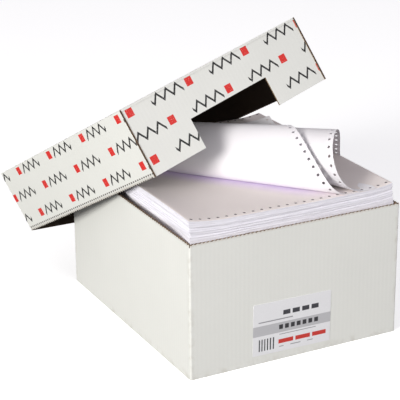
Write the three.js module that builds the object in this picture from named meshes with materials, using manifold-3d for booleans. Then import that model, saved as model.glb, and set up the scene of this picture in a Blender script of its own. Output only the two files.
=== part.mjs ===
// A carton of continuous fanfold computer paper, opened and ready to feed.
// Pieces: the carton's lower half, its torn-off upper half leaning on it as a lid,
// the fanfold pack with its two top leaves rolled back, and a printed label.
// Millimetres, +Z up. The origin is the centre of the carton's underside.
// +X runs along the label face, +Y from the label face to the back.
import * as THREE from 'three';
import { mergeVertices } from 'three/addons/utils/BufferGeometryUtils.js';
import Module from 'manifold-3d';

const wasm = await Module();
wasm.setup();

// ---- paper -------------------------------------------------------------
const leafLength = 304.8;        // fold to fold, 12 inches
const webWidth = 360;            // across the web, cut edge to cut edge
const sprocketPitch = 12.7;      // half an inch
const sprocketHole = 4;          // diameter
const sprocketInset = 6;         // hole centre to cut edge
const marginWidth = 12;          // perforated margin at each cut edge
const holeSides = 8;
const leafThickness = 0.7;       // a rolled leaf, thicker than the real 0.1

// ---- carton ------------------------------------------------------------
const board = 3;                 // single-wall corrugated board
const endRoom = 5.2;             // carton inside, over the leaf length
const sideRoom = 8;              // carton inside, over the web width
const cartonHeight = 188;        // lower half, floor to torn rim
const cartonCorner = 2.5;        // outer radius of the folded corners
const creaseRadius = 0.8;        // inside radius of a folded corner, and the lid's outer one
const toothPitch = 5.8;          // torn perforation
const toothDepth = 1.3;
const seamWidth = 1.2;           // gap along the edge of the outer bottom flap
const seamDepth = 1.4;
const flapPast = 60;             // the outer bottom flap reaches this far past the middle

// ---- lid ---------------------------------------------------------------
const lidPlay = 8;               // lid outside, over the carton outside
const lidHeight = 97;
const lidToothDepth = 2.4;
const notchWidth = 140;          // hand notch in the front wall
const notchHeight = 43;
const frontRecess = 0.7;         // front wall behind the side walls' board ends
const flapDrop = 22;             // the back wall's torn flap hangs lower
const flapSlope = 72;            // and gets there over this length
const flutePitch = 5.8;          // flutes of the board, open at its raw ends
const fluteMouth = 1.86;         // across the board
const fluteRise = 2.32;          // half a flute's opening along the board
const fluteDepth = 2;
const lidCentre = [-58.1, 153.6];  // middle of its top panel over the carton
const lidTurn = [-28.95, -12.4, 14.53];    // degrees about X, Y, Z
const lidSeat = 0.3;             // gap between the lid and what it lies on
const lidPasses = 12;            // of letting it down

// ---- pack --------------------------------------------------------------
const packHeight = 209.2;        // floor of the carton to the flat of the top leaf
const packShiftX = -0.7;         // the pack's centre from the carton's
const packShiftY = -1;
const topLean = 2.2;             // the part above the rim leans to -X
const foldPuff = [6.3, 57];      // height and reach of the swelling at the -X folds
const foldPuffFar = [5.4, 50];   // and at the +X folds
const backRise = 3;              // the back left corner stands higher
const packGap = 0.3;             // under the pack
const foldStep = 1.1;            // groups of leaves stand out by this at the folds
const cutStep = 0.45;            // and by this along the cut edges
const looseFrom = 0.84;          // share of the height above which the leaves lie loose
const looseWave = 0.9;           // rise and fall of the loose leaves
const topWave = 0.35;            // unevenness of the top leaf
const topInset = 0.2;            // the top leaf's edge behind the ones under it

// ---- rolled leaves -----------------------------------------------------
// Each leaf leaves the pack on a straight contact line that starts on the front
// cut edge at `foot` from the -X fold and makes `turn` with the web, and bends
// with the curvatures `bend` (1/mm) at the arc lengths `bendAt`. `taper` narrows
// the roll per mm along it.
const bendAt = [0, 30, 60, 90, 120, 160, 210, 235, 265, 300];
const outerLeaf = {
  foot: 235.9, turn: 0.701, taper: 0.0009, start: 11,
  bend: [0.0715, 0.0371, 0.0066, 0.0122, 0.0274, -0.011, -0.03, 0, 0, 0],
};
const innerLeaf = {
  foot: 262, turn: 0.4426, taper: 0.0018, start: 11,
  bend: [0.03, 0.0275, 0.0255, 0.024, 0.019, 0.01, 0.002, -0.008, -0.04, 0],
};
const generatorSteps = 5;        // divisions of a leaf along its roll

// ---- label -------------------------------------------------------------
const labelWidth = 118.5;
const labelHeight = 73.5;
const labelThickness = 0.3;
const labelCorner = 1.5;
const labelFromCorner = 92;      // from the near bottom corner of the carton
const labelFromFloor = 11.5;
const labelTilt = 0.8;           // degrees, stuck on slightly crooked
const labelGap = 0.05;

// ---- derived sizes -----------------------------------------------------
const cartonX = leafLength + endRoom + 2 * board;
const cartonY = webWidth + sideRoom + 2 * board;
const lidX = cartonX + lidPlay;
const lidY = cartonY + lidPlay;
const holeCount = Math.floor(leafLength / sprocketPitch);
const packLeft = -leafLength / 2 + packShiftX;
const packFront = -webWidth / 2 + packShiftY;
const packFloor = board + packGap;
const packTop = board + packHeight;
const sliver = 0.004;            // smallest detail kept after a cut or a join
const over = 0.5;                // how far a cutting tool runs past a face

// ---- solids ------------------------------------------------------------
function solid(geometry) {
  const bare = geometry.index ? geometry.toNonIndexed() : geometry.clone();
  for (const name of Object.keys(bare.attributes)) {
    if (name !== 'position') bare.deleteAttribute(name);
  }
  const merged = mergeVertices(bare, 1e-4);
  return new wasm.Manifold(new wasm.Mesh({
    numProp: 3,
    vertProperties: Float32Array.from(merged.attributes.position.array),
    triVerts: Uint32Array.from(merged.index.array),
  }));
}

// Back to a geometry, without the slivers that a cut or a join leaves.
function geometryOf(manifold) {
  const mesh = manifold.simplify(sliver).getMesh();
  const geometry = new THREE.BufferGeometry();
  geometry.setAttribute('position', new THREE.Float32BufferAttribute(mesh.vertProperties, 3));
  geometry.setIndex(new THREE.Uint32BufferAttribute(mesh.triVerts, 1));
  geometry.computeVertexNormals();
  return geometry;
}

function join(...pieces) {
  return pieces.reduce((sum, piece) => sum.add(piece));
}

function boxAt(x0, y0, z0, x1, y1, z1) {
  const box = new THREE.BoxGeometry(x1 - x0, y1 - y0, z1 - z0);
  return solid(box.translate((x0 + x1) / 2, (y0 + y1) / 2, (z0 + z1) / 2));
}

// A rectangle of the given half sizes with rounded corners, as a closed path.
function roundedRectangle(path, halfX, halfY, radius) {
  path.moveTo(-halfX + radius, -halfY);
  path.lineTo(halfX - radius, -halfY);
  path.absarc(halfX - radius, -halfY + radius, radius, -Math.PI / 2, 0);
  path.lineTo(halfX, halfY - radius);
  path.absarc(halfX - radius, halfY - radius, radius, 0, Math.PI / 2);
  path.lineTo(-halfX + radius, halfY);
  path.absarc(-halfX + radius, halfY - radius, radius, Math.PI / 2, Math.PI);
  path.lineTo(-halfX, -halfY + radius);
  path.absarc(-halfX + radius, -halfY + radius, radius, Math.PI, Math.PI * 1.5);
  return path;
}

function prism(shape, height, curveSegments = 3) {
  return new THREE.ExtrudeGeometry(shape, { depth: height, bevelEnabled: false, curveSegments });
}

// A saw-tooth strip that cuts a perforated edge: it lies along +X from 0 to
// `length`, its teeth point to -Z by `depth`, and it is `width` thick in Y.
function toothStrip(length, depth, width) {
  const count = Math.round(length / toothPitch);
  const pitch = length / count;
  const shape = new THREE.Shape();
  shape.moveTo(0, 3 * depth);
  for (let i = 0; i < count; i += 1) {
    const uneven = 1 - 0.25 * Math.abs(Math.sin(i * 2.4));
    shape.lineTo(i * pitch, 0);
    shape.lineTo((i + 0.5) * pitch, -depth * uneven);
  }
  shape.lineTo(length, 0);
  shape.lineTo(length, 3 * depth);
  return prism(shape, width).rotateX(Math.PI / 2).translate(0, width, 0);
}

// ---- carton, lower half --------------------------------------------------
function cartonBase() {
  const outline = roundedRectangle(new THREE.Shape(), cartonX / 2, cartonY / 2, cartonCorner);
  const inside = roundedRectangle(
    new THREE.Path(), cartonX / 2 - board, cartonY / 2 - board, creaseRadius,
  );
  const floor = solid(prism(outline.clone(), board));
  outline.holes.push(inside);
  const walls = solid(prism(outline, cartonHeight));
  let body = join(floor, walls);

  // the torn rim: a row of small teeth on each wall
  const reach = board + 2 * over;
  const alongX = () => toothStrip(cartonX, toothDepth, reach).translate(-cartonX / 2, 0, 0);
  const alongY = () => toothStrip(cartonY - 2 * board, toothDepth, reach)
    .rotateZ(Math.PI / 2).translate(0, -cartonY / 2 + board, 0);
  const cuts = [
    alongX().translate(0, -cartonY / 2 - over, cartonHeight),
    alongX().translate(0, cartonY / 2 + over - reach, cartonHeight),
    alongY().translate(-cartonX / 2 - over + reach, 0, cartonHeight),
    alongY().translate(cartonX / 2 + over, 0, cartonHeight),
  ];
  for (const cut of cuts) body = body.subtract(solid(cut));

  // the edge of the outer bottom flap, over the inner one
  body = body.subtract(boxAt(
    -cartonX / 2 - over, flapPast, -over, cartonX / 2 + over, flapPast + seamWidth, seamDepth,
  ));
  return body;
}

// ---- lid -----------------------------------------------------------------
// Shaped with the near top corner at the origin, the top panel in the plane z = 0,
// the walls hanging to -lidHeight and the notched wall at y = 0, then centred.
function lidShell() {
  const cx = lidX / 2;
  const cy = lidY / 2;
  const outline = roundedRectangle(new THREE.Shape(), cx, cy, creaseRadius);
  const inside = roundedRectangle(new THREE.Path(), cx - board, cy - board, creaseRadius);
  const panel = solid(prism(outline.clone(), board).translate(cx, cy, -board));
  outline.holes.push(inside);
  const walls = solid(prism(outline, lidHeight).translate(cx, cy, -lidHeight));
  let body = join(panel, walls);

  // the back wall's torn flap, lower than the other walls
  const flap = new THREE.Shape();
  flap.moveTo(board / 2, -lidHeight + board);
  flap.lineTo(board / 2, -lidHeight);
  flap.lineTo(flapSlope, -lidHeight - flapDrop);
  flap.lineTo(lidX - flapSlope, -lidHeight - flapDrop);
  flap.lineTo(lidX - board / 2, -lidHeight);
  flap.lineTo(lidX - board / 2, -lidHeight + board);
  body = join(body, solid(prism(flap, board).rotateX(Math.PI / 2).translate(0, lidY, 0)));

  // the front wall stands a little behind the side walls' raw board ends
  body = body.subtract(boxAt(
    board, -over, -lidHeight - over, lidX - board, frontRecess, -board,
  ));

  // hand notch, open at the rim
  body = body.subtract(boxAt(
    cx - notchWidth / 2, -over, -lidHeight - over,
    cx + notchWidth / 2, board + over, -lidHeight + notchHeight,
  ));

  // torn perforation along the side walls' rims
  const reach = board + 2 * over;
  const side = () => toothStrip(lidY - 2 * board, lidToothDepth, reach)
    .rotateX(Math.PI).rotateZ(Math.PI / 2).translate(0, board, -lidHeight);
  body = body.subtract(solid(side().translate(-over, 0, 0)));
  body = body.subtract(solid(side().translate(lidX + over - reach, 0, 0)));

  // open flutes in the side walls' board ends, beside the front wall: pockets
  // that point to one liner and the other in turn
  for (let k = 1; k * flutePitch < lidHeight - board; k += 1) {
    const tip = (k % 2 ? 1 : -1) * fluteMouth / 2;
    const mouth = new THREE.Shape([
      new THREE.Vector2(-tip, -fluteRise),
      new THREE.Vector2(tip, 0),
      new THREE.Vector2(-tip, fluteRise),
    ]);
    const flute = prism(mouth, fluteDepth + over).rotateX(Math.PI / 2);
    const pocket = solid(flute.translate(0, fluteDepth, k * flutePitch - lidHeight));
    body = body.subtract(pocket.translate([board / 2, 0, 0]));
    body = body.subtract(pocket.translate([lidX - board / 2, 0, 0]));
  }
  return body.translate([-cx, -cy, 0]);
}

// ---- fanfold pack --------------------------------------------------------
// Height of the pack's top over the paper point (u, v): u from the -X fold,
// v from the front cut edge.
function packTopAt(u, v) {
  const swell = ([height, reach], distance) => (
    height * Math.max(0, 1 - Math.max(0, distance) / reach) ** 2
  );
  const left = swell(foldPuff, u) * (1 + 0.08 * Math.sin(v / 45));
  const right = swell(foldPuffFar, leafLength - u);
  const back = backRise * (v / webWidth) ** 2 * Math.max(0, 1 - u / leafLength);
  return packTop + left + right + back + topWave * Math.sin(u / 31 + v / 57);
}

// The pack's side: small steps between groups of leaves, swollen at the folds.
function packSide(level, onFold) {
  const group = level * 9;
  const wave = Math.sin(group * 2.1) * 0.5 + Math.sin(group * 5.3) * 0.3;
  return (onFold ? foldStep : cutStep) * wave;
}

function packBlock() {
  const nx = 16;
  const ny = 12;
  const rim = cartonHeight;
  const levels = [0, 0.35, 0.62, 0.80, 0.865, 0.885, 0.905, 0.92, 0.935, 0.95, 0.962, 0.975, 0.988, 1];
  const us = Array.from({ length: nx + 1 }, (_, i) => (
    leafLength * (0.5 - 0.5 * Math.cos(Math.PI * i / nx))
  ));
  const vs = Array.from({ length: ny + 1 }, (_, i) => webWidth * i / ny);
  const ring = [];
  for (let i = 0; i < nx; i += 1) ring.push([us[i], 0]);
  for (let j = 0; j < ny; j += 1) ring.push([leafLength, vs[j]]);
  for (let i = nx; i > 0; i -= 1) ring.push([us[i], webWidth]);
  for (let j = ny; j > 0; j -= 1) ring.push([0, vs[j]]);

  const points = [];
  const faces = [];
  const levelPoint = (u, v, level) => {
    const top = packTopAt(u, v);
    const wavy = level > looseFrom && level < 1
      ? looseWave * Math.sin(u / 23 + v / 37 + level * 60) : 0;
    const z = packFloor + (top - packFloor) * level + wavy;
    const lean = -topLean * Math.min(1, Math.max(0, (z - rim) / (packTop - rim)));
    const inset = level === 1 ? topInset : 0;
    const sx = u === 0 ? -1 : Number(u === leafLength);
    const sy = v === 0 ? -1 : Number(v === webWidth);
    const spread = level > looseFrom ? 1 : 0.3;
    return [
      packLeft + u + lean + sx * (spread * packSide(level, true) - inset),
      packFront + v + sy * (spread * packSide(level, false) - inset),
      z,
    ];
  };
  for (const level of levels) {
    for (const [u, v] of ring) points.push(levelPoint(u, v, level));
  }
  const n = ring.length;
  for (let k = 0; k + 1 < levels.length; k += 1) {
    for (let i = 0; i < n; i += 1) {
      const a = k * n + i;
      const b = k * n + (i + 1) % n;
      faces.push([a, b, b + n], [a, b + n, a + n]);
    }
  }
  // top, as a grid over the paper; its rim is the last ring
  const topRing = (levels.length - 1) * n;
  const topIndex = new Map(ring.map(([u, v], i) => [`${u},${v}`, topRing + i]));
  const at = (i, j) => {
    const key = `${us[i]},${vs[j]}`;
    if (!topIndex.has(key)) {
      topIndex.set(key, points.length);
      points.push(levelPoint(us[i], vs[j], 1));
    }
    return topIndex.get(key);
  };
  for (let i = 0; i < nx; i += 1) {
    for (let j = 0; j < ny; j += 1) {
      faces.push([at(i, j), at(i + 1, j), at(i + 1, j + 1)]);
      faces.push([at(i, j), at(i + 1, j + 1), at(i, j + 1)]);
    }
  }
  // underside, flat
  const centre = points.length;
  points.push([packLeft + leafLength / 2, packFront + webWidth / 2, packFloor]);
  for (let i = 0; i < n; i += 1) faces.push([centre, (i + 1) % n, i]);
  return solid(meshGeometry(points, faces));
}

function meshGeometry(points, faces) {
  const geometry = new THREE.BufferGeometry();
  geometry.setAttribute('position', new THREE.Float32BufferAttribute(points.flat(), 3));
  geometry.setIndex(faces.flat());
  return geometry;
}

// The run of holes through the pack along both cut edges.
function packHoles() {
  const holes = [];
  for (const v of [sprocketInset, webWidth - sprocketInset]) {
    for (let k = 0; k < holeCount; k += 1) {
      const u = (k + 0.5) * sprocketPitch;
      const top = packTopAt(u, v) + 0.4;
      const drill = new THREE.CylinderGeometry(
        sprocketHole / 2, sprocketHole / 2, top + 1, holeSides,
      );
      drill.rotateX(Math.PI / 2).translate(packLeft + u - topLean, packFront + v, (top - 1) / 2);
      holes.push(solid(drill));
    }
  }
  return wasm.Manifold.union(holes);
}

// The bent section of a leaf: distance back from the contact line, height, and
// heading, all over the arc length.
function section(bend) {
  const step = 1;
  const rows = [{ back: 0, height: 0, heading: 0 }];
  const curvature = (s) => {
    const i = Math.min(bendAt.length - 2, bendAt.findLastIndex((knot) => knot <= s));
    const f = (s - bendAt[i]) / (bendAt[i + 1] - bendAt[i]);
    return bend[i] + (bend[i + 1] - bend[i]) * Math.min(1, f);
  };
  for (let s = 0; s < leafLength; s += step) {
    const last = rows[rows.length - 1];
    const heading = last.heading + step * curvature(s + step / 2);
    const mean = (last.heading + heading) / 2;
    rows.push({
      back: last.back + step * Math.cos(mean),
      height: last.height + step * Math.sin(mean),
      heading,
    });
  }
  return (s) => {
    const i = Math.min(rows.length - 2, Math.floor(s / step));
    const f = s / step - i;
    return {
      back: rows[i].back + f * (rows[i + 1].back - rows[i].back),
      height: rows[i].height + f * (rows[i + 1].height - rows[i].height),
    };
  };
}

// Maps a flat paper point to its place on the pack or on the roll.
function leafMap(leaf) {
  const away = [Math.cos(leaf.turn), Math.sin(leaf.turn)];
  const along = [-away[1], away[0]];
  const curve = section(leaf.bend);
  const sink = leafThickness / 2 + 0.1;
  return (u, v) => {
    const s = -((u - leaf.foot) * away[0] + v * away[1]);
    const t = (u - leaf.foot) * along[0] + v * along[1];
    const size = 1 - leaf.taper * t;
    const { back, height } = s > 0 ? curve(s / size) : { back: s / size, height: 0 };
    const x = leaf.foot + t * along[0] - back * size * away[0];
    const y = t * along[1] - back * size * away[1];
    const ground = s > 0
      ? packTopAt(leaf.foot + t * along[0], t * along[1]) : packTopAt(u, v);
    return new THREE.Vector3(
      packLeft - topLean + x, packFront + y, ground - sink + height * size,
    );
  };
}

// A bent leaf as a closed shell. The front margin is made of cells one pitch
// long, each with its sprocket hole; the rest hangs on straight generators.
function rolledLeaf(leaf) {
  const place = leafMap(leaf);
  const away = [Math.cos(leaf.turn), Math.sin(leaf.turn)];
  const along = [-away[1], away[0]];
  const flat = [];
  const index = new Map();
  const faces = [];
  const vertex = (u, v) => {
    const key = `${u.toFixed(3)},${v.toFixed(3)}`;
    if (!index.has(key)) {
      index.set(key, flat.length);
      flat.push([u, v]);
    }
    return index.get(key);
  };
  const face = (a, b, c) => {
    if (a !== b && b !== c && c !== a) faces.push([a, b, c]);
  };
  const cells = Math.ceil((leaf.foot + leaf.start / away[0]) / sprocketPitch);
  for (let k = 0; k < cells; k += 1) {
    const u0 = k * sprocketPitch;
    const outer = [];
    const inner = [];
    for (let i = 0; i < holeSides; i += 1) {
      const angle = (i / holeSides) * 2 * Math.PI + Math.PI / 4;
      const c = Math.cos(angle);
      const d = Math.sin(angle);
      const reach = Math.max(Math.abs(c), Math.abs(d));
      outer.push(vertex(
        u0 + sprocketPitch / 2 * (1 + c / reach), marginWidth / 2 * (1 + d / reach),
      ));
      inner.push(vertex(
        u0 + sprocketPitch / 2 + sprocketHole / 2 * c, sprocketInset + sprocketHole / 2 * d,
      ));
    }
    for (let i = 0; i < holeSides; i += 1) {
      const j = (i + 1) % holeSides;
      face(outer[i], outer[j], inner[j]);
      face(outer[i], inner[j], inner[i]);
    }
  }
  // body of the leaf
  const columns = 2 * cells;
  const generator = (j) => {
    const u = j * sprocketPitch / 2;
    const toFold = u / -along[0];
    const toBack = (webWidth - marginWidth) / along[1];
    const length = Math.min(toFold, toBack);
    return Array.from({ length: generatorSteps + 1 }, (_, i) => vertex(
      u + along[0] * length * i / generatorSteps,
      marginWidth + along[1] * length * i / generatorSteps,
    ));
  };
  for (let j = 0; j < columns; j += 1) {
    const a = generator(j);
    const b = generator(j + 1);
    for (let i = 0; i < generatorSteps; i += 1) {
      face(a[i], b[i], b[i + 1]);
      face(a[i], b[i + 1], a[i + 1]);
    }
  }
  return shell(flat, faces, place, leafThickness);
}

// Gives a bent sheet its thickness and closes it along every free edge.
function shell(flat, faces, place, thickness) {
  const points = [];
  const n = flat.length;
  const probe = 0.5;
  const sides = flat.map(([u, v]) => {
    const p = place(u, v);
    const du = place(u + probe, v).sub(place(u - probe, v));
    const dv = place(u, v + probe).sub(place(u, v - probe));
    const normal = du.cross(dv).normalize();
    return [p.clone().addScaledVector(normal, thickness / 2),
      p.clone().addScaledVector(normal, -thickness / 2)];
  });
  for (const side of [0, 1]) for (const pair of sides) points.push(pair[side].toArray());
  const all = [];
  const edges = new Map();
  for (const [a, b, c] of faces) {
    all.push([a, b, c], [c + n, b + n, a + n]);
    for (const [p, q] of [[a, b], [b, c], [c, a]]) edges.set(`${p},${q}`, [p, q]);
  }
  for (const [p, q] of edges.values()) {
    if (!edges.has(`${q},${p}`)) all.push([q, p, p + n], [q, p + n, q + n]);
  }
  return solid(meshGeometry(points, all));
}

function fanfoldPaper() {
  return join(
    packBlock().subtract(packHoles()), rolledLeaf(outerLeaf), rolledLeaf(innerLeaf),
  );
}

// ---- label ---------------------------------------------------------------
function labelSheet() {
  const shape = roundedRectangle(new THREE.Shape(), labelWidth / 2, labelHeight / 2, labelCorner);
  return prism(shape, labelThickness).rotateX(Math.PI / 2);
}

// ---- the object ----------------------------------------------------------
function piece(name, geometry, color, roughness) {
  const mesh = new THREE.Mesh(
    geometry, new THREE.MeshStandardMaterial({ color, roughness, metalness: 0 }),
  );
  mesh.name = name;
  return mesh;
}

// Lets the tilted lid down along Z from well above, each time by the gap that is
// left, until it lies `lidSeat` from the first thing that it meets.
function lowerOnto(carriers, shell, cover) {
  cover.position.z = packTop + 2 * lidHeight;
  for (let pass = 0; pass < lidPasses; pass += 1) {
    cover.updateMatrix();
    const gap = shell.transform(cover.matrix.toArray()).minGap(carriers, lidHeight);
    cover.position.z -= gap - lidSeat;
  }
}

const carton = cartonBase();
const paper = fanfoldPaper();
const upper = lidShell();
const object = new THREE.Group();
object.add(piece('carton_base', geometryOf(carton), 0xe4e4de, 0.85));
object.add(piece('fanfold_paper', geometryOf(paper), 0xf3eff2, 0.9));

const lid = piece('lid', geometryOf(upper), 0xe6e6e0, 0.8);
lid.rotation.order = 'ZYX';
lid.rotation.set(...lidTurn.map(THREE.MathUtils.degToRad));
lid.position.set(...lidCentre, 0);
lowerOnto(join(carton, paper), upper, lid);
object.add(lid);

const label = piece('label', labelSheet(), 0xededee, 0.6);
label.position.set(
  -cartonX / 2 + labelFromCorner + labelWidth / 2,
  -cartonY / 2 - labelGap,
  labelFromFloor + labelHeight / 2,
);
label.rotation.y = THREE.MathUtils.degToRad(labelTilt);
object.add(label);

export default object;
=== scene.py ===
import math
import bpy
import bmesh
import numpy as np
from mathutils import Matrix, Vector


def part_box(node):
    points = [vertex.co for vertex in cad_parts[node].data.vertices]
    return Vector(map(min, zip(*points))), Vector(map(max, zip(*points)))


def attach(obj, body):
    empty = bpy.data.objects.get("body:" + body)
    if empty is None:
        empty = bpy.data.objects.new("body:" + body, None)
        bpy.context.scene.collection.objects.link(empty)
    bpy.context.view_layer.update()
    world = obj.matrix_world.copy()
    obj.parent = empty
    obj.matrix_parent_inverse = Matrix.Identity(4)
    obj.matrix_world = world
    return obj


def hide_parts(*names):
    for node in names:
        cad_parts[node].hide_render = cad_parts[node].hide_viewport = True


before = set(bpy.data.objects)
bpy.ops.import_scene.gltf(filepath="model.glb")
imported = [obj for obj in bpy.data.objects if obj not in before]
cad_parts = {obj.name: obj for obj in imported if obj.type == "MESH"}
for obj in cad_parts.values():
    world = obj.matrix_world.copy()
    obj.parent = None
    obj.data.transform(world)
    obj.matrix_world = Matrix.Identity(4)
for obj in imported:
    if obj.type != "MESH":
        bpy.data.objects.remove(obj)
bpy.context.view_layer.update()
scene = bpy.context.scene
for chosen in list(bpy.context.selected_objects):
    chosen.select_set(False)

MM = 0.001

# Sizes in millimetres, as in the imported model
LEAF = 304.8                                # fold to fold
WEB = 360.0                                 # cut edge to cut edge
PITCH = 12.7                                # of the sprocket holes
PITCHES = 24                                # along one leaf
HOLE = 4.0                                  # across a sprocket hole
HOLE_INSET = 6.0                            # from the cut edge to the holes' middle
MARGIN = 12.0                               # the strip with the holes
BOARD = 3.0                                 # thickness of the corrugated board
CARTON_X = LEAF + 5.2 + 2 * BOARD           # with the room beside the folds
CARTON_Y = WEB + 8 + 2 * BOARD              # with the room beside the cut edges
CARTON_H = 188.0
LID_X = CARTON_X + 8
LID_Y = CARTON_Y + 8
LID_H = 97.0
LID_CORNER = (-188.547, -52.864, 332.232)   # the near top corner
LID_TURN = (-28.95, -12.4, 14.53)           # degrees about X, Y and Z
RECESS = 0.7                                # of the lid's front wall behind its board ends
LEAN = 2.2                                  # of the pack's top to the left
PACK_LEFT = -LEAF / 2 - 0.7
PACK_FRONT = -WEB / 2 - 1
PACK_FLOOR = BOARD + 0.3
PACK_TOP = BOARD + 209.2
LEFT_SWELL = (6.3, 57.0)                    # height and reach of the swelling at a fold
RIGHT_SWELL = (5.4, 50.0)
BACK_RISE = 3.0                             # of the pack's top at the back left corner
TOP_WAVE = 0.35                             # height of the slow waves in the top
FLUTE_SHOW = 6.3                            # pitch of the flutes that show through the liner
LID_FLUTE = 5.8                             # pitch of the lid's open flutes

# Colours of the board and the print
WHITE = (0.80, 0.805, 0.765)
FLECK = (0.50, 0.47, 0.38)
KRAFT = (0.30, 0.19, 0.11)
RAW_LIGHT = (0.40, 0.27, 0.16)
RAW_END_PAINTED_SHADE = (0.045, 0.028, 0.018)
RUBBED_DIRT = (0.42, 0.38, 0.30)
TORN_LINER = (0.55, 0.50, 0.42)
ROUGH_RIM = (0.46, 0.42, 0.36)
PERFORATION_PAINTED_SHADE = (0.07, 0.055, 0.045)
LID_INSIDE_PAINTED_SHADE = (0.012, 0.009, 0.007)
INK = (0.012, 0.012, 0.013)
RED = (0.72, 0.028, 0.022)

# Colours of the label
LABEL_PAPER = ((0.80, 0.80, 0.82), (0.86, 0.86, 0.88))
LABEL_GREY = (0.53, 0.53, 0.55)
LABEL_BLACK = (0.05, 0.05, 0.06)
LABEL_DASH = (0.06, 0.06, 0.07)
LABEL_BLOCK = (0.045, 0.045, 0.05)
LABEL_RULE = (0.15, 0.15, 0.17)
LABEL_RED = (0.62, 0.05, 0.04)

# Colours of the paper, darkest and lightest
# the top is the leaves' paper made warmer and darker: painted shade for the upward-facing top
TOP_PAPER_PAINTED_SHADE = ((0.795, 0.725, 0.70), (0.85, 0.785, 0.765))
LILAC_PAINTED_SHADOW = (0.64, 0.53, 0.77)
LEAF_PAPER = ((0.84, 0.815, 0.845), (0.885, 0.865, 0.885))
EDGE_PAPER = ((0.77, 0.75, 0.83), (0.90, 0.89, 0.94))
EDGE_STREAK = (0.95, 0.945, 0.96)
EDGE_SEAM_PAINTED_SHADE = (0.42, 0.37, 0.50)
HOLE_PAINTED_SHADE = ((0.20, 0.18, 0.19), (0.27, 0.25, 0.26))


class Value:
    """A socket in a tree of shader nodes, with arithmetic on it."""
    tree = None

    def __init__(self, socket):
        self.socket = socket

    @staticmethod
    def feed(socket, value):
        """Links a Value to a socket, or sets the socket to a plain value."""
        if isinstance(value, Value):
            Value.tree.links.new(value.socket, socket)
        else:
            socket.default_value = value

    @staticmethod
    def node(kind, settings, inputs, output=0):
        """A node by its type, with its settings set first, then its sockets."""
        new = Value.tree.nodes.new(kind)
        for name, setting in settings.items():
            setattr(new, name, setting)
        for name, value in inputs.items():
            Value.feed(new.inputs[name], value)
        return Value(new.outputs[output])

    @staticmethod
    def maths(operation, *values, clamp=False):
        settings = {"operation": operation, "use_clamp": clamp}
        return Value.node("ShaderNodeMath", settings, dict(enumerate(values)))

    def __add__(self, other):
        return Value.maths("ADD", self, other)

    def __radd__(self, other):
        return Value.maths("ADD", other, self)

    def __sub__(self, other):
        return Value.maths("SUBTRACT", self, other)

    def __rsub__(self, other):
        return Value.maths("SUBTRACT", other, self)

    def __mul__(self, other):
        return Value.maths("MULTIPLY", self, other)

    def __rmul__(self, other):
        return Value.maths("MULTIPLY", other, self)

    def __truediv__(self, other):
        return Value.maths("DIVIDE", self, other)

    def __rtruediv__(self, other):
        return Value.maths("DIVIDE", other, self)

    def __lt__(self, other):
        return Value.maths("LESS_THAN", self, other)

    def __gt__(self, other):
        return Value.maths("GREATER_THAN", self, other)


def absolute(value):
    return Value.maths("ABSOLUTE", value)


def fraction(value):
    return Value.maths("FRACT", value)


def whole(value):
    return Value.maths("FLOOR", value)


def sine(value):
    return Value.maths("SINE", value)


def lowest(first, second):
    return Value.maths("MINIMUM", first, second)


def highest(first, second):
    return Value.maths("MAXIMUM", first, second)


def clamp(value):
    return Value.maths("ADD", value, 0.0, clamp=True)


def ramp(value, low, high):
    """0 below low, 1 above high, smooth between."""
    return Value.node("ShaderNodeMapRange", {"interpolation_type": "SMOOTHSTEP"},
                      {0: value, 1: low, 2: high})


def band(value, low, high, soft=0.15):
    """1 between low and high, 0 outside, with soft ends."""
    return ramp(value, low - soft, low + soft) * (1.0 - ramp(value, high - soft, high + soft))


def mix(factor, first, second):
    """The first colour at factor 0 and the second at 1."""
    first, second = (c if isinstance(c, Value) else (*c, 1.0) for c in (first, second))
    return Value.node("ShaderNodeMix", {"data_type": "RGBA"}, {0: factor, 6: first, 7: second}, 2)


def vector(x, y, z):
    return Value.node("ShaderNodeCombineXYZ", {}, {0: x, 1: y, 2: z})


def noise(point, scale, detail=3.0, rough=0.55):
    sockets = {"Vector": point, "Scale": scale, "Detail": detail, "Roughness": rough}
    return Value.node("ShaderNodeTexNoise", {}, sockets, "Fac")


def dot(point, axis):
    return Value.node("ShaderNodeVectorMath", {"operation": "DOT_PRODUCT"},
                      {0: point, 1: axis}, "Value")


def place():
    """Object coordinates in millimetres: x, y, z, and the three as one vector."""
    metres = Value.node("ShaderNodeTexCoord", {}, {}, "Object")
    point = Value.node("ShaderNodeVectorMath", {"operation": "SCALE"},
                       {0: metres, "Scale": 1 / MM})
    split = Value.node("ShaderNodeSeparateXYZ", {}, {0: point}).socket.node
    x, y, z = (Value(socket) for socket in split.outputs)
    return x, y, z, point


def material(name):
    """A material and its shader. The nodes made next go into this material."""
    new = bpy.data.materials.new(name)
    new.use_nodes = True
    Value.tree = new.node_tree
    return new, new.node_tree.nodes["Principled BSDF"]


def surface(shader, colour, roughness, height, strength, distance):
    """Colour and roughness of a shader, and a bump of that distance in metres."""
    relief = Value.node("ShaderNodeBump", {},
                        {"Strength": strength, "Distance": distance, "Height": height})
    sockets = {"Base Color": colour, "Roughness": roughness, "Normal": relief}
    for name, value in sockets.items():
        Value.feed(shader.inputs[name], value)


def shaded(colour, factor):
    return tuple(factor * c for c in colour)


# Corrugated board
def flutes(across, along, pitch):
    """The end of corrugated board: two liners and the wavy sheet between.
    across runs from 0 to 1 through the board, along is in millimetres."""
    wave = sine(along * (2 * math.pi / pitch)) * 0.30 + 0.5
    wavy_sheet = 1.0 - ramp(absolute(across - wave), 0.07, 0.15)
    liners = highest(1.0 - ramp(across, 0.10, 0.18), ramp(across, 0.82, 0.90))
    return highest(wavy_sheet, liners)


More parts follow.
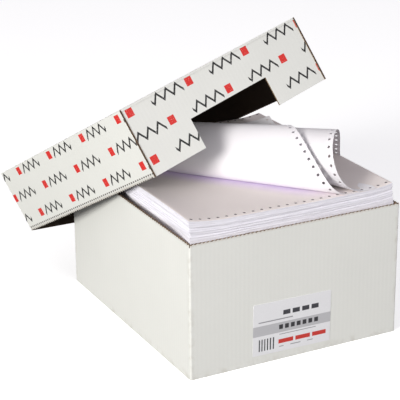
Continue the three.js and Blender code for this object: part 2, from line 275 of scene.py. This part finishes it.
def white_board(point, along, depth=1.0):
    """Colour and height of the white liner, with the flutes showing through along a line."""
    cloud = noise(point, 0.012, 3.0)
    grain = noise(point, 0.55, 4.0, 0.65)
    flecks = ramp(noise(point, 1.6, 2.0), 0.70, 0.80)
    wash = sine(along * (2 * math.pi / FLUTE_SHOW) + 1.4 * noise(point, 0.03, 1.0))
    tone = clamp(0.45 + 0.5 * (cloud - 0.5) + 0.30 * (grain - 0.5) + 0.06 * depth * wash)
    colour = mix(tone, shaded(WHITE, 0.93), shaded(WHITE, 1.05))
    colour = mix(flecks * 0.25, colour, FLECK)
    height = wash * 0.16 * depth + (grain - 0.5) * 0.45
    return colour, height


def kraft_board(point):
    coarse = noise(point, 0.05, 4.0) - 0.5
    fine = noise(point, 1.1, 3.0) - 0.5
    return mix(clamp(0.5 + 0.9 * coarse + 0.5 * fine), shaded(KRAFT, 0.72), shaded(KRAFT, 1.25))


def carton_material():
    """White outside, kraft inside, open flutes on the torn rim with painted shade in their
    hollows.
    """
    board, shader = material("white_corrugated_board")
    x, y, z, point = place()
    from_side = CARTON_X / 2 - absolute(x)
    from_front = CARTON_Y / 2 - absolute(y)
    from_outside = lowest(from_side, from_front)
    inside = ramp(from_outside, BOARD - 0.35, BOARD - 0.2) * ramp(z, 1.0, 1.2)
    rim = ramp(from_outside, 0.25, 0.4) * ramp(z, CARTON_H - 4, CARTON_H - 3.8)
    along = x + (from_side < from_front) * (y - x)
    white, height = white_board(point, along)

    # rubbed and dirty near the upright folds and the floor, worn at the torn rim
    rubbed = ramp(noise(point, 0.07, 4.0), 0.42, 0.72)
    fold = 1.0 - ramp(from_side + from_front, 2.0, 9.0)
    foot = 1.0 - ramp(z, 0.0, 12.0)
    white = mix(rubbed * highest(fold * 0.30, foot * 0.35), white, RUBBED_DIRT)
    white = mix(ramp(z, CARTON_H - 3.4, CARTON_H - 1.6) * 0.35, white, TORN_LINER)

    grain = flutes(clamp(from_outside / BOARD), along, FLUTE_SHOW)
    colour = mix(inside, white, kraft_board(point))
    # painted shade: the hollows between the open flutes on the rim are nearly black
    colour = mix(rim * (1.0 - inside), colour, mix(grain, RAW_END_PAINTED_SHADE, RAW_LIGHT))
    roughness = clamp(0.62 + 0.25 * inside + 0.2 * (noise(point, 0.2) - 0.5))
    relief = height * (1.0 - inside) + grain * rim * 2.0
    surface(shader, colour, roughness, relief, 0.25, 0.0004)
    return board


# The lid and its print
PRINT_ALONG = 104.0             # the repeat of the print
PRINT_UP = 34.0
PRINT_START = (18.0, -8.0)
PRINT_REPEATS = (500, 200)      # keeps the pattern's coordinates positive
ZIGZAG = (-36.0, 19.0)          # its ends in the repeat
ZIGZAG_TOOTH = 17.0
ZIGZAG_RISE = 6.0
SQUARE = (25.5, 37.0)           # its sides in the repeat
SQUARE_HALF = 5.8


def lid_axes():
    """The lid's own directions: along its width, its length and up."""
    about_x, about_y, about_z = (math.radians(angle) for angle in LID_TURN)
    turn = (Matrix.Rotation(about_z, 3, "Z") @ Matrix.Rotation(about_y, 3, "Y")
            @ Matrix.Rotation(about_x, 3, "X"))
    return [turn.col[i].copy() for i in range(3)]


def lid_print(along, up):
    """A staggered repeat of a zigzag and a square: one mask for each."""
    rows = (up + PRINT_REPEATS[1] * PRINT_UP + PRINT_START[1]) / PRINT_UP
    down_row = (fraction(rows) - 0.5) * PRINT_UP
    stagger = (whole(rows) * 0.5) * PRINT_ALONG
    columns = (along + stagger + PRINT_REPEATS[0] * PRINT_ALONG + PRINT_START[0]) / PRINT_ALONG
    in_row = (fraction(columns) - 0.5) * PRINT_ALONG
    tooth = absolute(fraction((in_row + 500.0) / ZIGZAG_TOOTH) - 0.5) - 0.25
    line = 1.0 - ramp(absolute(down_row - tooth * 4.0 * ZIGZAG_RISE), 2.1, 2.6)
    zigzag = line * band(in_row, *ZIGZAG, 0.2)
    square = band(in_row, *SQUARE, 0.2) * band(down_row, -SQUARE_HALF, SQUARE_HALF, 0.2)
    return zigzag, square


def lid_material():
    """White printed board outside, kraft inside darkened almost to black as painted shade, raw
    ends and torn rims.
    """
    board, shader = material("printed_corrugated_board")
    point = place()[3]
    corner = Vector(LID_CORNER)
    x, y, z = (dot(point, tuple(axis)) - axis.dot(corner) for axis in lid_axes())
    side = highest(x < 0.25, x > LID_X - 0.25)
    top = z > -0.25
    back = y > LID_Y - 0.25
    front = (y < RECESS + 0.2) * ((x > BOARD + 0.05) * (x < LID_X - BOARD - 0.05))
    outside = clamp(side + top + back + front)
    inside = ((x > BOARD - 0.2) * (x < LID_X - BOARD + 0.2) * (y > BOARD - 0.2)
              * (y < LID_Y - BOARD + 0.2) * (z < -BOARD + 0.2))

    along = x + clamp(side) * (1.0 - top) * (y - x)
    up = z + top * (y - z)
    white, height = white_board(point, along, 0.6)
    zigzag, square = lid_print(along, up)
    wear = ramp(noise(point, 0.9, 3.0), 0.30, 0.36)
    colour = mix(zigzag * wear, white, INK)
    colour = mix(square * wear, colour, RED)

    # torn perforation: a second row of small cuts over each side wall's rim, painted dark as the
    # shade inside the cuts
    cuts = (band(z, -LID_H + 4.4, -LID_H + 6.6, 0.3)
            * ramp(absolute(fraction(y / LID_FLUTE) - 0.5), 0.16, 0.24) * side)
    colour = mix(cuts * 0.9, colour, PERFORATION_PAINTED_SHADE)
    torn = (1.0 - ramp(z, -LID_H + 2.6, -LID_H + 4.4)) * side
    colour = mix(torn * 0.45, colour, ROUGH_RIM)

    # board ends beside the front wall, and every other raw edge, darkened as painted shade: nearly
    # black in the flute hollows, half dark on the liners
    grain = flutes(clamp(lowest(x, LID_X - x) / BOARD), z, LID_FLUTE)
    colour = mix(outside, mix(grain * 0.5, RAW_END_PAINTED_SHADE, RAW_LIGHT), colour)
    # painted shade: the kraft inside the lid is mixed most of the way to near black
    colour = mix(inside, colour, mix(0.85, kraft_board(point), LID_INSIDE_PAINTED_SHADE))
    roughness = clamp(0.60 + 0.3 * inside - 0.12 * zigzag)
    relief = height * outside + grain * (1.0 - outside) * (1.0 - inside) * 2.0 - cuts * 2.0
    surface(shader, colour, roughness, relief, 0.25, 0.0004)
    return board


# The label: its printed blocks are left, right, bottom and top in millimetres
LABEL_SIZE = (118.5, 73.5)
LABEL_TILT = 0.8
GREY_BAND = (27.5, 42.0)
BAR_BLOCK = (7.0, 34.0, 5.5, 22.5)
BAR_PITCH = 4.3
DASH_ROW = (45.0, 101.0, 52.0, 58.5)
DASH_PITCH = 14.5
BLOCK_ROW = (38.0, 100.0, 32.0, 38.5)
BLOCK_PITCH = 9.0
RED_ROW = (38.0, 112.0, 11.5, 17.5)
RED_PITCH = 26.0
UPPER_RULE = (8.0, 60.0, 46.0, 47.6)
LOWER_RULE = (40.0, 96.0, 24.2, 25.2)
SHORT_RULES = (40.0, 92.0, 6.5, 7.7)


def printed_block(u, v, block):
    left, right, bottom, top = block
    return band(v, bottom, top) * band(u, left, right)


def label_material():
    paper, shader = material("printed_label")
    x, y, z, point = place()
    low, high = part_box("label")
    across, up = ((low[i] + high[i]) / 2 / MM for i in (0, 2))
    turn = math.radians(LABEL_TILT)
    u = (x - across) * math.cos(turn) - (z - up) * math.sin(turn) + LABEL_SIZE[0] / 2
    v = (x - across) * math.sin(turn) + (z - up) * math.cos(turn) + LABEL_SIZE[1] / 2
    colour = mix(noise(point, 0.4), *LABEL_PAPER)
    colour = mix(band(v, *GREY_BAND, 0.3), colour, LABEL_GREY)

    uneven = 0.35 * sine(whole(u / BAR_PITCH) * 12.9)
    bars = band(fraction(u / BAR_PITCH + uneven), 0.30, 0.72, 0.06)
    colour = mix(bars * printed_block(u, v, BAR_BLOCK), colour, LABEL_BLACK)
    dashes = band(fraction(u / DASH_PITCH), 0.10, 0.86, 0.02)
    colour = mix(dashes * printed_block(u, v, DASH_ROW), colour, LABEL_DASH)
    blocks = band(fraction((u - BLOCK_ROW[0]) / BLOCK_PITCH), 0.14, 0.80, 0.03)
    colour = mix(blocks * printed_block(u, v, BLOCK_ROW), colour, LABEL_BLOCK)
    gaps = band(fraction(u / RED_PITCH), 0.2, 0.8, 0.02)
    rules = (printed_block(u, v, UPPER_RULE) + printed_block(u, v, LOWER_RULE)
             + printed_block(u, v, SHORT_RULES) * gaps)
    colour = mix(clamp(rules) * 0.75, colour, LABEL_RULE)
    reds = band(fraction((u - RED_ROW[0]) / RED_PITCH), 0.03, 0.90, 0.01)
    colour = mix(reds * printed_block(u, v, RED_ROW), colour, LABEL_RED)
    surface(shader, colour, 0.42, noise(point, 0.8, 2.0), 0.08, 0.0002)
    return paper


# Each rolled leaf lifts off the pack along a line from `foot` on the front edge, which makes
# the angle `turn` (radians) with the folds. Behind it the leaf bends with the curvatures
# `bend` (1/mm) at the distances BEND_AT. `taper` narrows the roll along the line, and
# `start` is how much of the leaf still lies flat in front of it.
BEND_AT = (0, 30, 60, 90, 120, 160, 210, 235, 265, 300)
OUTER = dict(foot=235.9, turn=0.701, taper=0.0009, start=11,
             bend=(0.0715, 0.0371, 0.0066, 0.0122, 0.0274, -0.011, -0.03, 0, 0, 0))
INNER = dict(foot=262.0, turn=0.4426, taper=0.0018, start=11,
             bend=(0.03, 0.0275, 0.0255, 0.024, 0.019, 0.01, 0.002, -0.004, -0.008, 0))
LEAF_THICKNESS = 0.3
LEAF_STEPS = 10                 # along a straight line of the roll

# The pack's sides
LAYER_DEPTH = 34.0              # of the finely layered part under the top
LAYER_LEVELS = 44
LAYER_FROM = 178.0              # height from which the layers swell at the folds
GAP_DEPTHS = (9.5, 19.0)        # under the top, where the leaves part into bundles
FREE_BELOW = 194.5              # height under which the left side stands back
HOLE_DEPTH = 40.0
TOP_ROWS = 40
HOLE_ACROSS = 8                 # divisions of a hole's cell along the web
HOLE_DEEP = 4                   # divisions across the margin
TOP_SLOT, EDGE_SLOT, HOLE_SLOT = range(3)


def paper_grain(point):
    coarse = noise(point, 0.02, 2.0) - 0.5
    fine = noise(point, 0.9, 4.0) - 0.5
    return clamp(0.5 + 0.7 * coarse + 0.3 * fine)


def top_paper():
    """Paper made warmer and darker as painted shade on the pack's upward-facing top, with a
    painted lilac shadow where the outer leaf lifts off, stronger to the back.
    """
    paper, shader = material("uncoated_paper_top_painted_shade")
    x, y, z, point = place()
    u = x - (PACK_LEFT - LEAN) - OUTER["foot"]
    v = y - PACK_FRONT
    sin, cos = math.sin(OUTER["turn"]), math.cos(OUTER["turn"])
    off = u * cos + v * sin
    run = v * cos - u * sin
    # painted shadow: a lilac shade along the line where the outer leaf lifts off the pack
    lilac_shadow_mask = ramp(off, -38.0, -2.0) * ramp(run, -10.0, 90.0) * (1.0 - ramp(off, 3.0, 12.0))
    colour = mix(lilac_shadow_mask * 0.9, mix(paper_grain(point), *TOP_PAPER_PAINTED_SHADE), LILAC_PAINTED_SHADOW)
    surface(shader, colour, 0.85, noise(point, 1.2, 4.0, 0.7), 0.08, 0.0002)
    return paper


def leaf_paper():
    paper, shader = material("uncoated_paper_leaf")
    point = place()[3]
    colour = mix(paper_grain(point), *LEAF_PAPER)
    surface(shader, colour, 0.82, noise(point, 1.2, 4.0, 0.7), 0.08, 0.0002)
    return paper


def leaf_edges():
    """Fine layers that follow the swelling at both folds, in bundles, with painted shade in the
    seams between bundles.
    """
    paper, shader = material("leaf_edges")
    x, y, z, point = place()
    u = x - PACK_LEFT
    near_left = highest(1.0 - u / LEFT_SWELL[1], 0.0)
    near_right = highest(1.0 - (LEAF - u) / RIGHT_SWELL[1], 0.0)
    share = clamp((z - LAYER_FROM) / LAYER_DEPTH)
    swelling = LEFT_SWELL[0] * near_left * near_left + RIGHT_SWELL[0] * near_right * near_right
    level = z - share * swelling - 0.5 * sine(x / 37.0 + 1.0) * share
    fine = noise(vector(x * 0.012, y * 0.012, level * 3.4), 1.0, 3.0, 0.6)
    bundle = noise(vector(x * 0.006, y * 0.006, level * 0.75), 1.0, 2.0, 0.5)
    seam = 1.0 - ramp(absolute(bundle - 0.53), 0.0, 0.022)
    streak = 1.0 - ramp(absolute(bundle - 0.455), 0.0, 0.016)
    tone = clamp(0.5 + 1.1 * (fine - 0.5) + 0.9 * (bundle - 0.5))
    colour = mix(tone, *EDGE_PAPER)
    colour = mix(streak * 0.8, colour, EDGE_STREAK)
    # painted shade in the seams where the leaves part into bundles
    colour = mix(seam * 0.30, colour, EDGE_SEAM_PAINTED_SHADE)
    surface(shader, colour, 0.85, fine * 0.5 + bundle * 0.5 - seam * 0.4, 0.28, 0.0005)
    return paper


def hole_depth():
    shade, shader = material("sprocket_hole_painted_shade")
    point = place()[3]
    # painted shade: the walls deep in the sprocket holes get a dark paper colour for the shade in
    # them
    Value.feed(shader.inputs["Base Color"], mix(paper_grain(point), *HOLE_PAINTED_SHADE))
    shader.inputs["Roughness"].default_value = 0.9
    return shade


def swell(height_and_reach, distance):
    height, reach = height_and_reach
    return height * np.maximum(0, 1 - np.maximum(0, distance) / reach) ** 2


def pack_top(u, v):
    """Height of the pack at u from the left fold and v from the front edge."""
    u = np.asarray(u, float)
    v = np.asarray(v, float)
    left = swell(LEFT_SWELL, u) * (1 + 0.08 * np.sin(v / 45))
    right = swell(RIGHT_SWELL, LEAF - u)
    back = BACK_RISE * (v / WEB) ** 2 * np.maximum(0, 1 - u / LEAF)
    return PACK_TOP + left + right + back + TOP_WAVE * np.sin(u / 31 + v / 57)


def mesh_object(name, points, faces, materials, slots, angle=40):
    """A piece from points in millimetres, smooth but for edges sharper than angle degrees."""
    mesh = bpy.data.meshes.new(name)
    mesh.from_pydata([tuple(float(c) * MM for c in point) for point in points], [], faces)
    for paper in materials:
        mesh.materials.append(paper)
    mesh.polygons.foreach_set("material_index", slots)
    mesh.validate()
    shape = bmesh.new()
    shape.from_mesh(mesh)
    for face in shape.faces:
        face.smooth = True
    for edge in shape.edges:
        if len(edge.link_faces) == 2 and edge.calc_face_angle(0.0) > math.radians(angle):
            edge.smooth = False
    shape.to_mesh(mesh)
    shape.free()
    piece = bpy.data.objects.new(name, mesh)
    scene.collection.objects.link(piece)
    return piece


def quads_down(upper, lower):
    """Quads between two rings of as many points, one under the other."""
    n = len(upper)
    return [(upper[i], lower[i], lower[(i + 1) % n], upper[(i + 1) % n]) for i in range(n)]


def quads_in(outer, inner):
    """Quads between two rings of as many points, one inside the other."""
    n = len(outer)
    return [(outer[i], outer[(i + 1) % n], inner[(i + 1) % n], inner[i]) for i in range(n)]


class FlatWeb:
    """Points and faces of the flat web, its points merged where they meet."""

    def __init__(self):
        self.points = []
        self.index = {}
        self.faces = []

    def vertex(self, u, v):
        key = (round(u, 5), round(v, 5))
        if key not in self.index:
            self.index[key] = len(self.points)
            self.points.append((u, v))
        return self.index[key]

    def hole_cell(self, u0, v0, hole_v):
        """One pitch of a margin from its corner (u0, v0), and the ring round its hole."""
        outline = [(u0 + PITCH * i / HOLE_ACROSS, v0) for i in range(HOLE_ACROSS)]
        outline += [(u0 + PITCH, v0 + MARGIN * i / HOLE_DEEP) for i in range(HOLE_DEEP)]
        outline += [(u0 + PITCH - PITCH * i / HOLE_ACROSS, v0 + MARGIN)
                    for i in range(HOLE_ACROSS)]
        outline += [(u0, v0 + MARGIN - MARGIN * i / HOLE_DEEP) for i in range(HOLE_DEEP)]
        hole_u = u0 + PITCH / 2
        outer = [self.vertex(*corner) for corner in outline]
        middle, hole = [], []
        for u, v in outline:
            angle = math.atan2(v - hole_v, u - hole_u)
            rim_u = hole_u + HOLE / 2 * math.cos(angle)
            rim_v = hole_v + HOLE / 2 * math.sin(angle)
            hole.append(self.vertex(rim_u, rim_v))
            middle.append(self.vertex((rim_u + u) / 2, (rim_v + v) / 2))
        for face_out, face_in in zip(quads_in(outer, middle), quads_in(middle, hole)):
            self.faces += [face_out, face_in]
        return hole


def leaf_map(leaf, sink):
    """The function that takes points of the flat web to their place on a rolled leaf."""
    away = np.array((math.cos(leaf["turn"]), math.sin(leaf["turn"])))
    along = np.array((-away[1], away[0]))
    s_at = np.linspace(0, 500, 2001)
    step = s_at[1] - s_at[0]
    curvature = np.interp(s_at, BEND_AT, leaf["bend"])
    heading = np.concatenate([[0], np.cumsum((curvature[1:] + curvature[:-1]) / 2 * step)])
    mean = (heading[1:] + heading[:-1]) / 2
    back_at = np.concatenate([[0], np.cumsum(np.cos(mean) * step)])
    high_at = np.concatenate([[0], np.cumsum(np.sin(mean) * step)])

    def place_of(uv):
        u, v = uv[:, 0], uv[:, 1]
        s = -((u - leaf["foot"]) * away[0] + v * away[1])
        t = (u - leaf["foot"]) * along[0] + v * along[1]
        size = 1 - leaf["taper"] * t
        back = np.where(s > 0, np.interp(np.maximum(s, 0) / size, s_at, back_at), s / size)
        high = np.where(s > 0, np.interp(np.maximum(s, 0) / size, s_at, high_at), 0)
        x = leaf["foot"] + t * along[0] - back * size * away[0]
        y = t * along[1] - back * size * away[1]
        ground = np.where(s > 0, pack_top(leaf["foot"] + t * along[0], t * along[1]),
                          pack_top(u, v))
        return np.c_[PACK_LEFT - LEAN + x, PACK_FRONT + y, ground - sink + high * size]
    return place_of


def rolled_leaf(name, leaf, materials, sink=0.25):
    """One rolled leaf: its margin with the holes, then straight lines across the roll."""
    flat = FlatWeb()
    away = (math.cos(leaf["turn"]), math.sin(leaf["turn"]))
    along = (-away[1], away[0])
    cells = math.ceil((leaf["foot"] + leaf["start"] / away[0]) / PITCH)
    for k in range(cells):
        flat.hole_cell(k * PITCH, 0.0, HOLE_INSET)

    def straight_line(j):
        u = j * PITCH / HOLE_ACROSS
        length = min(u / away[1], (WEB - MARGIN) / along[1])
        return [flat.vertex(u + along[0] * length * i / LEAF_STEPS,
                            MARGIN + along[1] * length * i / LEAF_STEPS)
                for i in range(LEAF_STEPS + 1)]
    for j in range(cells * HOLE_ACROSS):
        here, following = straight_line(j), straight_line(j + 1)
        for i in range(LEAF_STEPS):
            quad = [here[i], following[i], following[i + 1], here[i + 1]]
            quad = [a for a, b in zip(quad, quad[1:] + quad[:1]) if a != b]
            if len(quad) > 2:
                flat.faces.append(tuple(quad))

    # both sides of the paper, half its thickness off the rolled surface
    uv = np.array(flat.points)
    place_of = leaf_map(leaf, sink)
    middle = place_of(uv)
    du = place_of(uv + (0.4, 0)) - place_of(uv - (0.4, 0))
    dv = place_of(uv + (0, 0.4)) - place_of(uv - (0, 0.4))
    normal = np.cross(du, dv)
    normal /= np.linalg.norm(normal, axis=1)[:, None]
    points = np.r_[middle + normal * LEAF_THICKNESS / 2, middle - normal * LEAF_THICKNESS / 2]
    n = len(uv)
    faces = list(flat.faces) + [tuple(q + n for q in reversed(face)) for face in flat.faces]
    slots = [TOP_SLOT] * len(faces)

    # the cut edge all round, and round each hole
    edges = dict.fromkeys(edge for face in flat.faces for edge in zip(face, face[1:] + face[:1]))
    for a, b in edges:
        if (b, a) not in edges:
            faces.append((b, a, a + n, b + n))
            slots.append(EDGE_SLOT)
    return mesh_object(name, points, faces, materials, slots)


def pack_outline(us, vs):
    """The points round the pack's top, in order, that the flat web has there."""
    deep = [MARGIN * i / HOLE_DEEP for i in range(HOLE_DEEP)]
    return ([(u, 0.0) for u in us[:-1]]
            + [(LEAF, d) for d in deep]
            + [(LEAF, v) for v in vs[:-1]]
            + [(LEAF, WEB - MARGIN + d) for d in deep]
            + [(u, WEB) for u in reversed(us[1:])]
            + [(0.0, WEB - d) for d in deep]
            + [(0.0, v) for v in reversed(vs[1:])]
            + [(0.0, MARGIN - d) for d in deep])


def side_offset(down, run, sx, level_z, rv, lift, phase):
    """How far a level of the pack's side stands out at each point of its outline."""
    bundle = np.sin(down * 1.9 + 0.9 * np.sin(run / 55)) * 0.5 + lift * 0.55
    upper_gap = np.exp(-((down - GAP_DEPTHS[0] - 1.2 * np.sin(run / 70)) / 0.9) ** 2)
    lower_gap = np.exp(-((down - GAP_DEPTHS[1] + 1.5 * np.sin(run / 60 + 2)) / 0.8) ** 2)
    gap = 1.6 * (upper_gap + 0.7 * lower_gap)
    out = np.where(sx != 0, 0.75 * bundle - gap, 0.35 * bundle - 0.45 * gap)
    out = out + 0.06 * np.sin(run / 4.1 + phase)
    clear = 9.0 * np.clip(rv / 70, 0, 1) * np.clip((FREE_BELOW - level_z) / 3, 0, 1)
    return out - np.where(sx < 0, clear, 0)


def paper_stack(name, materials):
    """The pack: its top with two rows of holes, and finely layered sides."""
    flat = FlatWeb()
    holes = []
    for k in range(PITCHES):
        holes.append(flat.hole_cell(k * PITCH, 0.0, HOLE_INSET))
        holes.append(flat.hole_cell(k * PITCH, WEB - MARGIN, WEB - HOLE_INSET))
    columns = PITCHES * HOLE_ACROSS
    us = [PITCH * i / HOLE_ACROSS for i in range(columns + 1)]
    vs = [MARGIN + (WEB - 2 * MARGIN) * j / TOP_ROWS for j in range(TOP_ROWS + 1)]
    for i in range(columns):
        for j in range(TOP_ROWS):
            corners = ((i, j), (i + 1, j), (i + 1, j + 1), (i, j + 1))
            flat.faces.append(tuple(flat.vertex(us[a], vs[b]) for a, b in corners))

    # the top leaf lies a little uneven, and its outermost edge rounds down
    uv = np.array(flat.points)
    u, v = uv[:, 0], uv[:, 1]
    from_fold = np.minimum(u, LEAF - u)
    soft = 0.35 * np.sin(u / 19 + 1.3) * np.sin(v / 43 + 0.4) + 0.2 * np.sin(v / 15 + u / 60)
    rim = np.minimum(from_fold / 3.0, np.minimum(v, WEB - v) / 1.2)
    z = pack_top(u, v) + soft * np.minimum(1, from_fold / 30)
    z = z - 0.8 * (1 - np.minimum(1, rim)) ** 2
    points = [tuple(q) for q in np.c_[PACK_LEFT - LEAN + u, PACK_FRONT + v, z]]
    faces = list(flat.faces)
    slots = [TOP_SLOT] * len(faces)

    # the layered sides, level by level, and straight walls under them
    outline = pack_outline(us, vs)
    ring = [flat.vertex(*corner) for corner in outline]
    outline = np.array(outline)
    ru, rv = outline[:, 0], outline[:, 1]
    sx = np.where(ru == 0, -1.0, np.where(ru == LEAF, 1.0, 0.0))
    sy = np.where(rv == 0, -1.0, np.where(rv == WEB, 1.0, 0.0))
    run = np.concatenate([[0], np.cumsum(np.linalg.norm(np.diff(outline, axis=0), axis=1))])
    top_z = z[ring]
    rng = np.random.default_rng(7)
    phases = rng.uniform(0, 6.28, (60, 4))
    lifts = rng.uniform(-1, 1, 60)

    def add_level(upper, x, y, level_z):
        lower = list(range(len(points), len(points) + len(upper)))
        points.extend(tuple(q) for q in np.c_[x, y, level_z])
        faces.extend(quads_down(upper, lower))
        slots.extend([EDGE_SLOT] * len(upper))
        return lower
    for k in range(1, LAYER_LEVELS + 1):
        share = k / LAYER_LEVELS
        down = LAYER_DEPTH * share
        wavy = (0.35 * np.sin(run / 37 + phases[k][0]) + 0.25 * np.sin(run / 13 + phases[k][1])
                + 0.5 * np.sin(run / 90 + phases[k // 6][2]))
        level_z = (top_z * (1 - share) + (PACK_TOP - LAYER_DEPTH + 2) * share
                   + wavy * min(1, down / 3) * 0.6)
        out = side_offset(down, run, sx, level_z, rv, lifts[k], phases[k][2])
        shift = -LEAN * np.clip((level_z - CARTON_H) / (PACK_TOP - CARTON_H), 0, 1)
        ring = add_level(ring, PACK_LEFT + ru + shift + sx * out, PACK_FRONT + rv + sy * out,
                         level_z)
    ring = add_level(ring, PACK_LEFT + ru, PACK_FRONT + rv, np.full(len(ring), PACK_FLOOR))
    faces.append(tuple(reversed(ring)))
    slots.append(EDGE_SLOT)

    # the sprocket holes go down through the leaves
    for hole in holes:
        bottom = list(range(len(points), len(points) + len(hole)))
        points.extend((points[q][0], points[q][1], points[q][2] - HOLE_DEPTH) for q in hole)
        faces.extend(quads_in(hole, bottom) + [tuple(bottom)])
        slots.extend([HOLE_SLOT] * (len(hole) + 1))
    return mesh_object(name, points, faces, materials, slots, angle=50)


# The pieces
for node, finish in (("carton_base", carton_material), ("lid", lid_material),
                     ("label", label_material)):
    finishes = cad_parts[node].data.materials
    finishes.clear()
    finishes.append(finish())

top, leaf, edges, hole = top_paper(), leaf_paper(), leaf_edges(), hole_depth()
for piece in (
    paper_stack("paper_pack", [top, edges, hole]),
    rolled_leaf("rolled_leaf_outer", OUTER, [leaf, edges]),
    rolled_leaf("rolled_leaf_inner", INNER, [leaf, edges], sink=0.2),
):
    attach(piece, "root")
    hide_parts("fanfold_paper")


# Floor, light and camera, in metres
FLOOR_HALF = 14
FLOOR_SHADE = (0.20, 0.20, 0.20)        # what the object gets back from the floor
FLOOR_SEEN = (0.9, 0.9, 0.9)            # what the camera sees of it
FLOOR_GLOW = (0.46, 0.46, 0.46)
WORLD_STRENGTH = 0.42
WORLD_TINT = (0.965, 0.94, 1.0)
AIM = (0, 0, 0.15)
SENSOR = 36
PICTURE = 400                           # pixels across
FOCAL_LENGTH = 1527.2                   # in the picture's pixels
EYE = (-0.9569, -1.76029, 0.90385)
EYE_RIGHT = (0.886713, -0.462261, -0.007454)
EYE_DOWN = (-0.167137, -0.305487, -0.937413)
EYE_AHEAD = (0.431052, 0.832462, -0.348140)


def camera_ray():
    """1 where the camera looks straight at a surface, 0 for light that it gives."""
    return Value.node("ShaderNodeLightPath", {}, {}, "Is Camera Ray")


def floor_plane():
    paint, shader = material("studio_floor")
    seen = camera_ray()
    Value.feed(shader.inputs["Base Color"], mix(seen, FLOOR_SHADE, FLOOR_SEEN))
    Value.feed(shader.inputs["Emission Color"], mix(seen, (0, 0, 0), FLOOR_GLOW))
    shader.inputs["Roughness"].default_value = 0.9
    shader.inputs["Emission Strength"].default_value = 1.0
    mesh = bpy.data.meshes.new("floor")
    corners = ((-1, -1), (1, -1), (1, 1), (-1, 1))
    mesh.from_pydata([(x * FLOOR_HALF, y * FLOOR_HALF, 0) for x, y in corners], [], [(0, 1, 2, 3)])
    mesh.materials.append(paint)
    floor = bpy.data.objects.new("floor", mesh)
    scene.collection.objects.link(floor)


def world_light():
    """A soft tinted world on the object, plain white for the camera."""
    world = bpy.data.worlds.new("studio")
    scene.world = world
    world.use_nodes = True
    Value.tree = world.node_tree
    sky = world.node_tree.nodes["Background"]
    seen = camera_ray()
    Value.feed(sky.inputs["Color"], mix(seen, WORLD_TINT, (1, 1, 1)))
    Value.feed(sky.inputs["Strength"], seen * (1.0 - WORLD_STRENGTH) + WORLD_STRENGTH)


def lamp(name, where, size, power, colour):
    light = bpy.data.lights.new(name, "AREA")
    light.size = size
    light.energy = power
    light.color = colour
    stand = bpy.data.objects.new(name, light)
    stand.location = where
    stand.rotation_euler = (Vector(AIM) - Vector(where)).to_track_quat("-Z", "Y").to_euler()
    scene.collection.objects.link(stand)


def picture_camera():
    lens = bpy.data.cameras.new("camera")
    lens.sensor_width = SENSOR
    lens.lens = SENSOR * FOCAL_LENGTH / PICTURE
    lens.clip_end = 60
    eye = bpy.data.objects.new("camera", lens)
    turn = Matrix((Vector(EYE_RIGHT), -Vector(EYE_DOWN), -Vector(EYE_AHEAD))).transposed()
    eye.matrix_world = Matrix.Translation(EYE) @ turn.to_4x4()
    scene.collection.objects.link(eye)
    scene.camera = eye


floor_plane()
world_light()
lamp("key", where=(-3.5, -1.6, 1.5), size=1.3, power=147, colour=(1.0, 0.99, 0.955))
lamp("front", where=(0.9, -4.3, 1.7), size=2.6, power=60, colour=(1.0, 0.99, 0.985))
picture_camera()
scene.view_settings.view_transform = "Standard"
